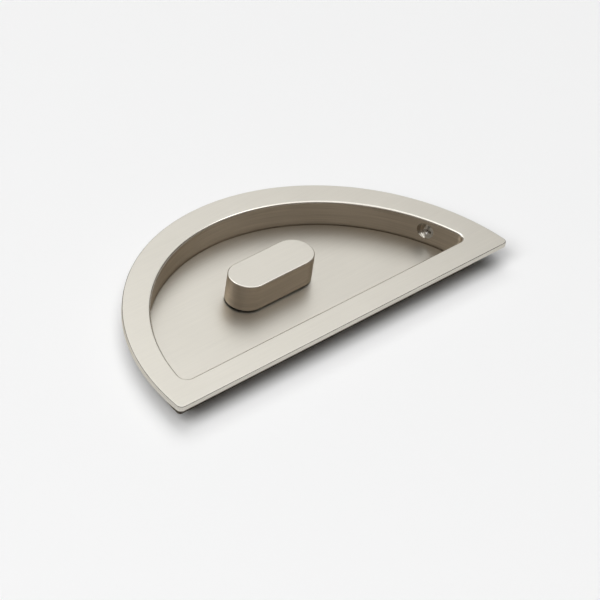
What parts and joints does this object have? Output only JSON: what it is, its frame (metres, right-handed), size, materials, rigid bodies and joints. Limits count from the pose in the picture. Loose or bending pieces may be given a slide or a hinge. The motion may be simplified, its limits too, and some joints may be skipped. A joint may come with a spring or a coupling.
{
  "type": "half-moon flush pull with privacy turn for a pocket door",
  "caption": "Half-moon flush pull for a pocket door: a flat flange round a shallow finger recess, with an oblong privacy turn on its floor that drives the lock's spindle.",
  "frame": {"origin": "on the turn's axis, in the plane of the back plate's back face, which is the middle of the object's base", "axes": "+X along the straight edge, +Y from the straight edge to the curved edge, +Z out of the door, through the recess's mouth"},
  "size_m": [0.1598, 0.0782, 0.0123],
  "materials": {
    "satin_nickel": "brushed satin nickel, warm grey",
    "bush_brass": "turned brass",
    "plain_steel": "machined steel",
    "screw_steel": "bright nickel-plated steel",
    "black_nylon": "matt black nylon"
  },
  "bodies": {
    "trim": {"rim": "satin_nickel", "back_plate": "satin_nickel", "bearing_bush": "bush_brass", "disc_spring": "plain_steel", "thrust_washer": "black_nylon", "fixing_screws": "screw_steel"},
    "turn": {"knob": "satin_nickel", "turn_shaft": "plain_steel", "knob_screw": "screw_steel"}
  },
  "joints": [
    {"name": "privacy_turn", "type": "hinge", "parent": "trim", "child": "turn", "pos_m": [0, 0, 0.0071], "axis": [0, 0, 1], "range_deg": [0, 90]}
  ]
}
